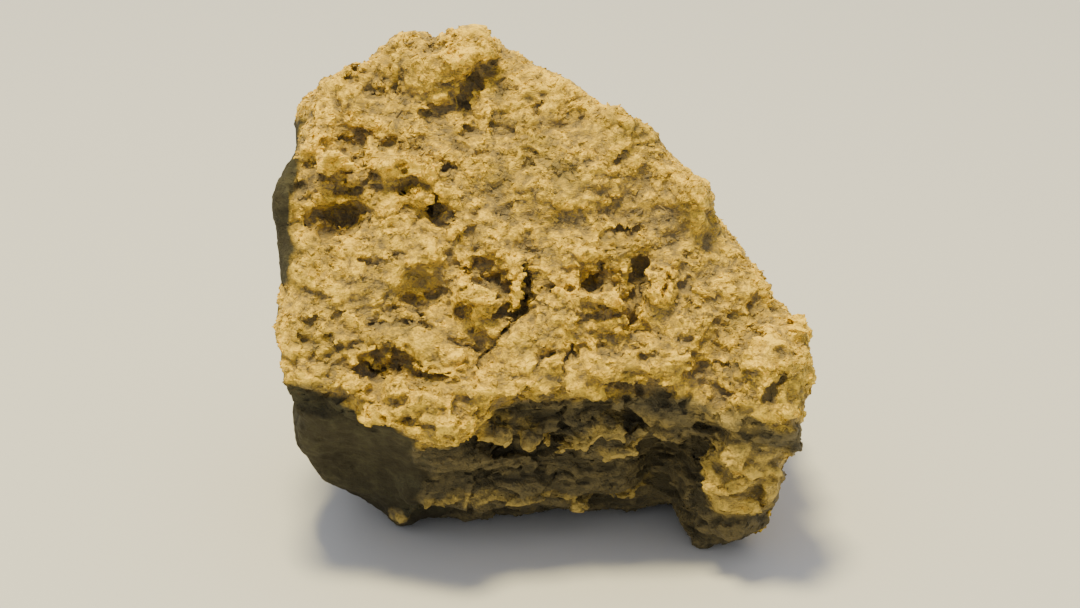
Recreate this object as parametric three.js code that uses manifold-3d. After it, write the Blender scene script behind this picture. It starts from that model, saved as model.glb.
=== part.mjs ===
// A fist-sized stony meteorite: one broken stone, so one closed solid.
//
// Frame: millimetres, +Z up. The origin is under the middle of the stone, on the plane z = 0 that it stands on.
// The broad broken slope faces -Y and leans back from a jagged lower edge to the summit. Below that edge the stone
// is undercut. Its left and rear faces are the rounded outside of the original stone, marked by shallow thumbprints.
//
// The form is a signed distance: fracture faces, lumps grown on them, hollows taken out of them, and broken relief.
// A skin of even triangles is drawn onto that form and then cut off flat at the base.

import * as THREE from "three";
import { mergeVertices } from "three/addons/utils/BufferGeometryUtils.js";
import Module from "manifold-3d";

// ---- Driving dimensions ----

const HEART = [0, 0, 42]; // the faces' distances are measured from here, well inside the stone
const SKIN_DETAIL = 21; // the skin has 20 * (SKIN_DETAIL + 1) ** 2 triangles
const EDGE_ROUNDING = 0.9; // how far a worn edge between two fracture faces is rounded off
const BLEND = 1.2; // how softly a lump grows out of the stone, or a hollow's lip is worn

const radians = THREE.MathUtils.degToRad;

// ---- Fracture faces: the way each one looks and its distance from the heart ----
//
// Bearing 0 looks to the front (-Y), 90 to the right (+X); tilt is above the horizon.

const FACES = {
  // The broken front
  slope: { bearing: 0, tilt: 38, reach: 23.5 },
  slopeRight: { bearing: 28, tilt: 37, reach: 30.5 },
  slopeFarRight: { bearing: 60, tilt: 30, reach: 42 },
  slopeBrow: { bearing: 345, tilt: 55, reach: 38.5 },
  leftBevel: { bearing: 299, tilt: 24, reach: 48.3 },
  // The broken skyline
  leftOfSummit: { bearing: 235, tilt: 50, reach: 52.5 },
  summit: { bearing: 190, tilt: 60, reach: 48 },
  rightOfSummit: { bearing: 120, tilt: 50, reach: 34.5 },
  rightSkyline: { bearing: 105, tilt: 33, reach: 34.3 },
  // The undercut below the front, broken on its right
  lowerEdge: { bearing: 4, tilt: 0, reach: 31.8 },
  lowerFront: { bearing: 6, tilt: -33, reach: 32.5 },
  frontUnder: { bearing: 5, tilt: -66, reach: 41 },
  lowerRightUnder: { bearing: 82, tilt: -42, reach: 49 },
  rightSide: { bearing: 85, tilt: -8, reach: 47 },
  // The rounded outside of the original stone
  lowerLeft: { bearing: 345, tilt: -36, reach: 38, crust: true },
  lowerLeftCorner: { bearing: 310, tilt: -24, reach: 54, crust: true },
  lowerLeftUnder: { bearing: 272, tilt: -45, reach: 52, crust: true },
  leftSide: { bearing: 266, tilt: 8, reach: 47.8, crust: true },
  leftFlank: { bearing: 268, tilt: -8, reach: 44.4, crust: true },
  upperLeftShoulder: { bearing: 262, tilt: 24, reach: 53, crust: true },
  leftRear: { bearing: 228, tilt: 4, reach: 44.5, crust: true },
  rearLeft: { bearing: 205, tilt: 10, reach: 39.5, crust: true },
  rearBrow: { bearing: 184, tilt: 34, reach: 39, crust: true },
  rear: { bearing: 172, tilt: -3, reach: 37, crust: true },
  rightRear: { bearing: 138, tilt: 3, reach: 43, crust: true },
  rearFoot: { bearing: 195, tilt: -30, reach: 42.5, crust: true },
  rearUnder: { bearing: 165, tilt: -48, reach: 49, crust: true },
};

for (const face of Object.values(FACES)) {
  const [b, t] = [radians(face.bearing), radians(face.tilt)];
  face.normal = new THREE.Vector3(Math.sin(b) * Math.cos(t), -Math.cos(b) * Math.cos(t), Math.sin(t));
  face.across = new THREE.Vector3(Math.cos(b), Math.sin(b), 0);
  face.up = face.normal.clone().cross(face.across);
}

// ---- Lumps and hollows: ellipsoids that lie on a face ----
//
// at: millimetres across and up the face, from the foot of its perpendicular to the heart, and out of it.
// size: half length, half width and half thickness. turn: degrees that the length is turned in the face.
// blend: how softly this one grows out of the stone, where that is not the usual BLEND.

const LUMPS = [
  { name: "summit boulder", face: "slope", at: [-13, 38, -4], size: [7.5, 7, 8], turn: 20 },
  { name: "summit knuckle", face: "slope", at: [-22, 37, -4], size: [5, 6, 8], turn: 0 },
  { name: "skyline step", face: "slope", at: [14, 24, -3], size: [7, 4, 6], turn: -20 },
  { name: "skyline knob", face: "slope", at: [27, 12, -3], size: [5, 4, 6], turn: -40 },
  { name: "right knob", face: "slope", at: [41.5, -18, -6], size: [6.8, 9, 10], turn: 0 },
  { name: "right haunch", face: "slope", at: [39, -27, -10], size: [8, 9, 12], turn: 0 },
  { name: "tongue", face: "slope", at: [-20, -23, -2.5], size: [10, 9, 5], turn: -25 },
  { name: "left roll", face: "slope", at: [-33, -16, -2], size: [8.5, 5, 5], turn: -5 },
  { name: "middle block", face: "slope", at: [-12, -8, -1], size: [7, 4, 4], turn: -5 },
  { name: "right block", face: "slope", at: [11, -7, 0], size: [5, 2.5, 3], turn: -8 },
  { name: "layered bulge", face: "slope", at: [-24, 15, -1], size: [8, 3.5, 4], turn: -5 },
  { name: "curled bulge", face: "slope", at: [-36, 15, -1], size: [5, 4.5, 4], turn: 0 },
  { name: "upper left bulge", face: "leftSide", at: [6, 11.5, -1.6], size: [9, 9, 5], turn: 0, blend: 2 },
  { name: "slope swell", face: "slope", at: [4, 14, -3], size: [13, 9, 5], turn: -35 },
  { name: "right shelf", face: "lowerFront", at: [20, 2, -2], size: [8, 4, 4], turn: 12 },
  { name: "rim", face: "lowerFront", at: [-6, -14, 0], size: [22, 4, 4], turn: 2 },
  { name: "lower right lump", face: "lowerFront", at: [33, -8.5, 1.5], size: [9, 12, 11.5], turn: 5, blend: 4 },
  { name: "right foot", face: "lowerFront", at: [31, -19, 5], size: [7, 9, 9], turn: 0, blend: 5 },
  { name: "lower left bulge", face: "leftFlank", at: [14, -13.5, -4], size: [12, 6.5, 6.4], turn: 12, blend: 4 },
  { name: "left foot", face: "lowerLeft", at: [-22, -27, -4], size: [4, 9, 8], turn: 0 },
];

const HOLLOWS = [
  { name: "summit cleft", face: "slope", at: [-12.5, 32, 0], size: [1.8, 4.5, 5], turn: -20 },
  { name: "summit overhang", face: "slope", at: [-9.5, 35, 0], size: [4, 1.8, 4], turn: 15 },
  { name: "skyline notch", face: "slope", at: [-18.5, 44, 0], size: [2.4, 3, 5], turn: 0 },
  { name: "shoulder hollow", face: "slope", at: [-33, 35, 0], size: [3, 2, 3], turn: 40 },
  { name: "long hollow above the bulges", face: "slope", at: [-34, 21.5, 0], size: [5, 2.2, 4], turn: 10 },
  { name: "hollow in the curl", face: "slope", at: [-34, 14.5, 0], size: [3, 1.8, 4], turn: -15 },
  { name: "hollow under the layers", face: "slope", at: [-22, 12.2, 0], size: [5.5, 1.8, 4], turn: -8 },
  { name: "hollow under the curl", face: "slope", at: [-36, 9.3, 0], size: [5, 1.8, 3.5], turn: -15 },
  { name: "left slot", face: "slope", at: [-22, -6, 0], size: [4, 1.8, 3], turn: 15 },
  { name: "deep pocket", face: "slope", at: [-9, -2, 0], size: [4.5, 2.8, 6], turn: -5 },
  { name: "under the middle block", face: "slope", at: [-14, -8.8, 0], size: [3.5, 1.5, 3], turn: -10 },
  { name: "right pocket", face: "slope", at: [9.5, -3.5, 0], size: [3.5, 2, 4.5], turn: 12 },
  { name: "standing slot", face: "slope", at: [17, -5, 0], size: [1.8, 5.5, 5], turn: -8 },
  { name: "under the right block", face: "slope", at: [12, -9.8, 0], size: [4.5, 1.5, 3], turn: -10 },
  { name: "long gully", face: "slope", at: [-6.5, -11, 0], size: [1.8, 9, 3], turn: -30 },
  { name: "under the left roll", face: "slope", at: [-27, -18.5, 0], size: [7, 1.8, 4], turn: -8 },
  { name: "above the tongue", face: "slope", at: [-18, -21.2, 0], size: [5.5, 1.6, 3.5], turn: -3 },
  { name: "dark pit by the shoulder", face: "slope", at: [42, -16, 0], size: [1.8, 1.8, 4], turn: 0 },
  { name: "rough pit", face: "slope", at: [31, -18, 0], size: [4, 2, 3], turn: -15 },
  { name: "cave beside the tongue", face: "lowerFront", at: [0, 5, 2], size: [13, 6, 8], turn: -3 },
  { name: "cave under the shelf", face: "lowerFront", at: [-8, -3, 0], size: [9, 3.5, 6], turn: -5 },
  { name: "round pit in the shelf", face: "lowerFront", at: [11, 4, 0], size: [3, 4, 5], turn: 0 },
  { name: "wide dark bay", face: "lowerFront", at: [21.5, -8, 0], size: [7, 9, 5], turn: 0 },
];

for (const blob of [...LUMPS, ...HOLLOWS]) {
  const { normal, across, up, reach } = FACES[blob.face];
  const [a, u, out] = blob.at;
  const turn = radians(blob.turn);
  blob.centre = new THREE.Vector3(...HEART)
    .addScaledVector(across, a)
    .addScaledVector(up, u)
    .addScaledVector(normal, reach + out);
  blob.normal = normal;
  blob.length = across.clone().multiplyScalar(Math.cos(turn)).addScaledVector(up, Math.sin(turn));
  blob.width = normal.clone().cross(blob.length);
}

// Near enough a signed distance close to an ellipsoid's surface.
function ellipsoid({ centre, length, width, normal, size }, x, y, z) {
  const [dx, dy, dz] = [x - centre.x, y - centre.y, z - centre.z];
  const a = (dx * length.x + dy * length.y + dz * length.z) / size[0];
  const b = (dx * width.x + dy * width.y + dz * width.z) / size[1];
  const c = (dx * normal.x + dy * normal.y + dz * normal.z) / size[2];
  return (Math.sqrt(a * a + b * b + c * c) - 1) * Math.min(...size);
}

// ---- Relief: rounded blocks on the broken faces, shallow thumbprints on the outside of the original stone ----

const BLOCK_SPACING = [9, 9, 6.5]; // wider than high, as the stone parts in rough layers
const BLOCK_HEIGHT = 3;
const BLOCK_LEAN = 2.2; // how much farther a block's foot stands out than its head, so that it makes a ledge
const THUMBPRINT_SPACING = [19, 19, 16];
const THUMBPRINT_DEPTH = 5;
const MEAN_SQUARE = 0.3; // of the distance to the nearest seed, in spacings
const CRUST_EDGE = 3; // width over which one relief gives way to the other

// A repeatable value from 0 to 1 for a grid cell and a channel.
function chance(x, y, z, channel) {
  const mixed = Math.sin(x * 127.1 + y * 311.7 + z * 74.7 + channel * 53.3) * 43758.5453;
  return mixed - Math.floor(mixed);
}

// The nearest of the seeds that are scattered one to a cell: the square of its distance, and how far it lies above
// the point, both in spacings.
function nearestSeed(x, y, z, spacing) {
  const [px, py, pz] = [x / spacing[0], y / spacing[1], z / spacing[2]];
  const [cx, cy, cz] = [Math.floor(px), Math.floor(py), Math.floor(pz)];
  const nearest = { away: Infinity, above: 0 };
  for (let i = cx - 1; i <= cx + 1; i++)
    for (let j = cy - 1; j <= cy + 1; j++)
      for (let k = cz - 1; k <= cz + 1; k++) {
        const [dx, dy, dz] = [i + chance(i, j, k, 0) - px, j + chance(i, j, k, 1) - py, k + chance(i, j, k, 2) - pz];
        const away = dx * dx + dy * dy + dz * dz;
        if (away < nearest.away) [nearest.away, nearest.above] = [away, dz];
      }
  return nearest;
}

function blocks(x, y, z) {
  const { away, above } = nearestSeed(x, y, z, BLOCK_SPACING);
  return BLOCK_HEIGHT * (away - MEAN_SQUARE) - BLOCK_LEAN * above;
}

function thumbprints(x, y, z) {
  return THUMBPRINT_DEPTH * (MEAN_SQUARE - nearestSeed(x, y, z, THUMBPRINT_SPACING).away);
}

// ---- The signed distance of the whole stone ----

// The larger value, with the edge where the two meet rounded off over a width of softness.
function softMax(a, b, softness) {
  const near = Math.max(softness - Math.abs(a - b), 0) / softness;
  return Math.max(a, b) + (near * near * softness) / 4;
}

function stone(x, y, z) {
  let broken = -Infinity;
  let crusted = -Infinity;
  for (const { normal, reach, crust } of Object.values(FACES)) {
    const out = normal.x * (x - HEART[0]) + normal.y * (y - HEART[1]) + normal.z * (z - HEART[2]) - reach;
    if (crust) crusted = softMax(crusted, out, EDGE_ROUNDING);
    else broken = softMax(broken, out, EDGE_ROUNDING);
  }
  let distance = softMax(broken, crusted, EDGE_ROUNDING);
  for (const lump of LUMPS) distance = -softMax(-distance, -ellipsoid(lump, x, y, z), lump.blend ?? BLEND);
  for (const hollow of HOLLOWS) distance = softMax(distance, -ellipsoid(hollow, x, y, z), BLEND);
  const crustShare = THREE.MathUtils.smoothstep(crusted - broken, -CRUST_EDGE, CRUST_EDGE);
  return distance + THREE.MathUtils.lerp(blocks(x, y, z), thumbprints(x, y, z), crustShare);
}

// ---- The skin: even triangles on the bare fracture faces, then moved in or out to the finished form ----

const SPREADING_ROUNDS = 300;
const NORMAL_ROUNDS = 5; // how often each normal is averaged with its neighbours, so that none cross at an edge
const OUTER_START = 12; // how far outside the bare faces the search for the surface starts
const SEARCH_STEP = 0.5;

// The point of the bare fracture faces that a ray from the heart reaches.
function onBareFaces(direction) {
  let reach = Infinity;
  for (const face of Object.values(FACES)) {
    const facing = face.normal.dot(direction);
    if (facing > 0) reach = Math.min(reach, face.reach / facing);
  }
  return direction.clone().multiplyScalar(reach);
}

function neighboursOf(index, count) {
  const neighbours = Array.from({ length: count }, () => new Set());
  for (let i = 0; i < index.count; i += 3) {
    const [a, b, c] = [index.getX(i), index.getX(i + 1), index.getX(i + 2)];
    neighbours[a].add(b).add(c);
    neighbours[b].add(a).add(c);
    neighbours[c].add(a).add(b);
  }
  return neighbours;
}

function bareSkin() {
  const sphere = new THREE.IcosahedronGeometry(1, SKIN_DETAIL);
  sphere.deleteAttribute("normal");
  sphere.deleteAttribute("uv");
  const geometry = mergeVertices(sphere, 1e-5);
  const position = geometry.getAttribute("position");
  const neighbours = neighboursOf(geometry.index, position.count);
  let points = neighbours.map((_, i) => onBareFaces(new THREE.Vector3().fromBufferAttribute(position, i)));
  for (let round = 0; round < SPREADING_ROUNDS; round++)
    points = points.map((point, i) => {
      const middle = new THREE.Vector3();
      for (const j of neighbours[i]) middle.add(points[j]);
      return onBareFaces(middle.normalize());
    });
  points.forEach((point, i) => position.setXYZ(i, point.x, point.y, point.z));
  geometry.translate(...HEART).computeVertexNormals();
  const normalAttribute = geometry.getAttribute("normal");
  let normals = points.map((_, i) => new THREE.Vector3().fromBufferAttribute(normalAttribute, i));
  for (let round = 0; round < NORMAL_ROUNDS; round++)
    normals = normals.map((normal, i) => {
      const mean = normal.clone();
      for (const j of neighbours[i]) mean.add(normals[j]);
      return mean.normalize();
    });
  normals.forEach((normal, i) => normalAttribute.setXYZ(i, normal.x, normal.y, normal.z));
  return geometry;
}

// How far along a normal, counted from a point of the bare faces, the finished surface lies.
function surfaceHeight(point, normal) {
  const at = (height) => {
    const [x, y, z] = point.clone().addScaledVector(normal, height);
    return stone(x, y, z);
  };
  let outside = OUTER_START;
  let inside = outside - SEARCH_STEP;
  while (at(inside) > 0) {
    outside = inside;
    inside -= SEARCH_STEP;
  }
  for (let halving = 0; halving < 8; halving++) {
    const middle = (outside + inside) / 2;
    if (at(middle) > 0) outside = middle;
    else inside = middle;
  }
  return (outside + inside) / 2;
}

function skinGeometry() {
  const geometry = bareSkin();
  const position = geometry.getAttribute("position");
  const normals = geometry.getAttribute("normal");
  const point = new THREE.Vector3();
  const normal = new THREE.Vector3();
  for (let i = 0; i < position.count; i++) {
    point.fromBufferAttribute(position, i);
    normal.fromBufferAttribute(normals, i);
    point.addScaledVector(normal, surfaceHeight(point, normal));
    position.setXYZ(i, ...point);
  }
  geometry.deleteAttribute("normal");
  return geometry;
}

// ---- The solid, cut off flat at the base ----

const GROUND_SIZE = 300; // of the block that takes away all that reaches below the base

const wasm = await Module();
wasm.setup();

function toSolid(geometry) {
  const merged = mergeVertices(geometry, 1e-5);
  return new wasm.Manifold(
    new wasm.Mesh({
      numProp: 3,
      vertProperties: new Float32Array(merged.attributes.position.array),
      triVerts: new Uint32Array(merged.index.array),
    }),
  );
}

function toGeometry(solid) {
  const mesh = solid.getMesh();
  return new THREE.BufferGeometry()
    .setAttribute("position", new THREE.BufferAttribute(mesh.vertProperties, 3))
    .setIndex(new THREE.BufferAttribute(mesh.triVerts, 1));
}

function groundBlock() {
  const block = new THREE.BoxGeometry(GROUND_SIZE, GROUND_SIZE, GROUND_SIZE).translate(0, 0, -GROUND_SIZE / 2);
  block.deleteAttribute("normal");
  block.deleteAttribute("uv");
  return block;
}

// Moves a geometry sideways, so that the middle of its box is over the origin.
function centred(geometry) {
  geometry.computeBoundingBox();
  const middle = geometry.boundingBox.getCenter(new THREE.Vector3());
  return geometry.translate(-middle.x, -middle.y, 0);
}

const meteorite = new THREE.Mesh(
  centred(toGeometry(toSolid(skinGeometry()).subtract(toSolid(groundBlock())))),
  new THREE.MeshStandardMaterial({ color: 0xb8944a, roughness: 0.7, metalness: 0 }),
);
meteorite.name = "meteorite";

const part = new THREE.Group();
part.add(meteorite);

export default part;
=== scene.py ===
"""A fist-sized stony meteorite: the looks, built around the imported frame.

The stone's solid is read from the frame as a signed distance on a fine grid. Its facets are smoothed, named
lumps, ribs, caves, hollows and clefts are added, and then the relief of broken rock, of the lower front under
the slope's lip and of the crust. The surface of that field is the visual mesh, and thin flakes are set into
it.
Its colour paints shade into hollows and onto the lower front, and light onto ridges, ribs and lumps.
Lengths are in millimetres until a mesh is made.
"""

import itertools
import math
from concurrent.futures import ThreadPoolExecutor

import bpy
import numpy as np
import openvdb
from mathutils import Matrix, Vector


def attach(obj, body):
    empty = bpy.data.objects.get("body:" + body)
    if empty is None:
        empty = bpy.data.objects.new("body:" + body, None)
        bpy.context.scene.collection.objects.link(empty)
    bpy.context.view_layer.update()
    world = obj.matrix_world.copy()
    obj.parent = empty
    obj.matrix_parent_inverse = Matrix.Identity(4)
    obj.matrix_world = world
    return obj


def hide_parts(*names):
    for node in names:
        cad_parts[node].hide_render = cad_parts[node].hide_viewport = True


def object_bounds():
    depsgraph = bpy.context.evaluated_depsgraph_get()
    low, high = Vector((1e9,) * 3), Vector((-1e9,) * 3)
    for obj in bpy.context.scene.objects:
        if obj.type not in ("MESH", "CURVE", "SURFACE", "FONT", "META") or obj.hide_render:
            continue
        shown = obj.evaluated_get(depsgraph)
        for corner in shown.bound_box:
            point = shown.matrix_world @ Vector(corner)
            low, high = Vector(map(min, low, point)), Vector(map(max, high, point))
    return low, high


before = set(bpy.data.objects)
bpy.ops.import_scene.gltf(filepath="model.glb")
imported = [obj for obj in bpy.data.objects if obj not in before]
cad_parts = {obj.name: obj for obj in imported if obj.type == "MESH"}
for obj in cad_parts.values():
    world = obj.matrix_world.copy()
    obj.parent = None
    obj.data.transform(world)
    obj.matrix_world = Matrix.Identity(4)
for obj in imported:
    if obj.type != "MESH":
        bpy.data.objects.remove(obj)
cad_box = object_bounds()

MM = 0.001

# ---- The stone's faces, as (bearing, tilt, reach from the heart) ----
# Bearing 0 looks to the front (-Y), 90 to the right (+X); tilt is above the horizon, in degrees.

HEART = np.array([-0.3, -0.95, 42.0])

BROKEN_FACES = {
    "slope": (0, 38, 23.5),
    "slope, right": (28, 37, 30.5),
    "slope, far right": (60, 30, 42),
    "slope, brow": (345, 55, 38.5),
    "left bevel": (299, 24, 48.3),
    "left of the summit": (235, 50, 52.5),
    "summit": (190, 60, 48),
    "right of the summit": (120, 50, 34.5),
    "right skyline": (105, 33, 34.3),
    "lower edge": (4, 0, 31.8),
    "lower front": (6, -33, 32.5),
    "front underside": (5, -66, 41),
    "lower right underside": (82, -42, 49),
    "right side": (85, -8, 47),
}
CRUST_FACES = {
    "lower left": (345, -36, 38),
    "lower left corner": (310, -24, 54),
    "lower left underside": (272, -45, 52),
    "left side": (266, 8, 47.8),
    "left flank": (268, -8, 44.4),
    "upper left shoulder": (262, 24, 53),
    "left rear": (228, 4, 44.5),
    "rear, left": (205, 10, 39.5),
    "rear brow": (184, 34, 39),
    "rear": (172, -3, 37),
    "right rear": (138, 3, 43),
    "rear foot": (195, -30, 42.5),
    "rear underside": (165, -48, 49),
}
FACES = {**BROKEN_FACES, **CRUST_FACES}
# The faces that look down under the slope's lip are painted in shade; the unshaded faces keep the rock's
# golden colour.
DOWNWARD_FACES = {name: BROKEN_FACES[name] for name in ("lower front", "front underside")}
LIP_AND_BELOW = (*DOWNWARD_FACES, "lower edge")
UNSHADED_FACES = {name: face for name, face in BROKEN_FACES.items() if name not in LIP_AND_BELOW}


def unit(vectors):
    return vectors / np.maximum(np.linalg.norm(vectors, axis=1, keepdims=True), 1e-6)


def looking(bearing, tilt):
    """The unit vector that a face looks along."""
    b, t = math.radians(bearing), math.radians(tilt)
    return np.array([math.sin(b) * math.cos(t), -math.cos(b) * math.cos(t), math.sin(t)])


def face_axes(name):
    """A named face's directions across, up and out."""
    bearing, tilt, _ = FACES[name]
    out = looking(bearing, tilt)
    across = looking(bearing + 90, 0)
    return across, np.cross(out, across), out


def on_face(name, across, up, out=0.0):
    """A point given in millimetres across, up and out of a named face."""
    axes = face_axes(name)
    return HEART + across * axes[0] + up * axes[1] + (FACES[name][2] + out) * axes[2]


# ---- Named features of the faces ----


def by_face(features):
    """One list of the features of all the faces, each with its face's name in front."""
    return [(face, *feature) for face, of_face in features.items() for feature in of_face]


# Lumps: (across, up) or (across, up, out) to start from, how far the middle is out of the surface,
# (half length, half width, half thickness), turn of the length in degrees.
LUMPS = by_face({"slope": [
    ((-12.8, 38.6), -2.6, (5.2, 4.6, 4), 20),  # summit boulder
    ((-4, -3.9), -0.2, (1.4, 2.2, 2.2), 6),  # tooth beside the cleft
    ((-10.6, -6.3), -1, (4.6, 1.8, 2.2), -3),  # block under the deep pocket
    ((-9.8, -9.4), -1.2, (3.4, 1.5, 2), -6), ((5.4, -2.5), -0.8, (2.5, 1.3, 1.8), 0),
    ((11.4, -7), -0.8, (3.6, 1.6, 2), -4), ((2.3, -18.2), -0.9, (1.7, 1.6, 1.8), -10),
    ((21.3, -4.4), -1, (1.7, 4.4, 1.8), -4), ((-17.8, -16.6), -1.6, (5, 3.4, 2.4), -8),
    ((-22.4, 16.6), -0.9, (5.2, 1.4, 1.8), -4), ((-35.6, 17.4), -0.8, (2.5, 1.3, 1.8), 4),
    ((-35, 12.4), 0.6, (2.9, 1.1, 1.9), -8),
    ((-22, 12.2), 0.7, (3.8, 1.7, 3), -6),  # floors of the deepest pits
    ((-37.6, 9), 0.4, (1, 2.6, 3.2), 10), ((-35, 7.4), -0.6, (2.2, 1.4, 2.4), 0),
    ((-3.6, -6.6), 0.9, (1.8, 2.6, 2.6), 25), ((-40.5, 21.6), -0.8, (3, 1.3, 1.8), 38),
    ((37.8, -18.2), -1.2, (3, 2.4, 2.2), -10), ((45.2, -13), -3.2, (2.6, 3.4, 4.2), 0),
    ((-4.4, -22.4), -0.8, (2.4, 1.2, 1.8), 18), ((1.4, -23.2), -0.8, (1.5, 1.2, 1.8), 0),
    ((-24.5, -23.2), -1, (2.2, 3, 2.2), 8), ((-16.6, -29), -0.9, (2, 3, 1.8), 12),
    ((-30.6, -26.6), -0.8, (2.6, 1.1, 1.8), -22),
    ((34.2, -32.6, -7.4), -0.8, (2.4, 3.2, 2), -25),  # blocks of the lower right lump
    ((36.8, -35.4, -8.6), -0.8, (2.6, 2, 2), -35), ((31, -36.8, -12.4), -0.8, (2, 2.2, 2.2), 8),
    ((34.6, -38.2, -11.6), -0.8, (1.8, 1.8, 2.2), 25), ((38.2, -40.2, -14.4), -0.8, (1.8, 1.6, 2.2), -20),
    ((40.4, -35, -11), -0.8, (1.8, 2.2, 2), 20), ((34.4, -43.2, -21), -0.8, (2.2, 2.6, 2.2), -15),
], "lower front": [
    ((-11, -6.8), -1.2, (4.4, 2.2, 1.8), -8), ((7.5, 1.5), -0.9, (3.8, 1.6, 1.8), 12),
    ((12, -2.6), -0.7, (3.2, 1.1, 1.4), 18),
]})

# Caves: ellipsoids, as the spots below, that are taken out of the stone under the slope's lower edge.
CAVES = by_face({"lower edge": [
    ((0, -10), 0.5, (12.4, 4.6, 3.8), 0),
    ((15.5, -7.8), 0.5, (6.5, 4.2, 3.4), -8),
], "lower front": [
    ((24.4, -1.5), 0.8, (4.2, 5.5, 3), 0),
], "lower left": [
    ((-31.5, 19.3), 0.4, (9, 4.8, 3.8), 6),
]})

# Ribs: thin raised edges of broken layers: thickness, height above the surface, and their points.
RIBS = by_face({"slope": [
    (1.1, 0.9, [(-39, 16.6), (-36.4, 18.6), (-33.4, 17.8), (-32.6, 16.4)]),
    (1.1, 0.9, [(-38.4, 13.4), (-35.4, 11.4), (-32, 12)]),
    (0.8, 0.8, [(-41.2, 14.2), (-39.8, 12.2), (-38.6, 11.8)]),
    (0.7, 0.7, [(-31.8, 14.2), (-29.2, 13.4)]),
    (0.7, 0.6, [(-31.6, 12.8), (-29, 12.2)]),
    (0.9, 0.8, [(-28.4, 16.4), (-25, 17.6), (-20, 17.2), (-17.6, 15.8)]),
    (1, 0.7, [(-31.4, -15), (-29.4, -15.6), (-26.8, -15)]),
    (1.1, 0.9, [(-25.2, -18.6), (-21, -19.8), (-17, -19.6), (-12.8, -19.9)]),
    (0.8, 0.6, [(-4.6, -24.8), (-3, -25.6), (-1.6, -24.8)]),
    (0.7, 0.5, [(-1.6, -4.9), (1, -4.8), (3.4, -5.1), (5.4, -6.2)]),
    (0.9, 0.6, [(-17, 22.2), (-14.2, 21.8), (-11.8, 20.6)]),
    (1, 0.8, [(20, 0.6), (22.3, -0.8), (23.3, -3.5), (23, -7.5)]),
    (0.9, 0.7, [(14.5, -18.8), (18.5, -19.2), (21.6, -17.6)]),
    (0.8, 0.7, [(-34, -24.4), (-39, -22), (-42.4, -19)]),
    (0.9, 0.7, [(-41, -15.8), (-43.4, -13.4), (-42, -11.6), (-39, -12.8)]),
], "lower front": [
    (1, 1.6, [(-13.6, 2.9), (-11.2, 2.5), (-8.4, 2.6)]),
    (1.1, 1.8, [(-5.5, 1.1), (-3, -0.9), (0.2, -2.6), (2.9, -3), (4.6, -0.6), (8.1, 1.9), (11.8, 2.3)]),
    (1.1, 1.4, [(8.6, -2.9), (10.8, -2.2), (13.4, -1.6), (15.2, 0.2)]),
    (0.8, 0.9, [(-27, -22.6), (-25.3, -20.7), (-22.4, -14.5)]),
    (0.9, 0.9, [(-22.4, -14.5), (-17, -13.4), (-9.8, -12.6), (-2.5, -13), (3.2, -15.6),
                (7.8, -19), (13, -18.6), (18.8, -17.6)]),
]})

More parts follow.
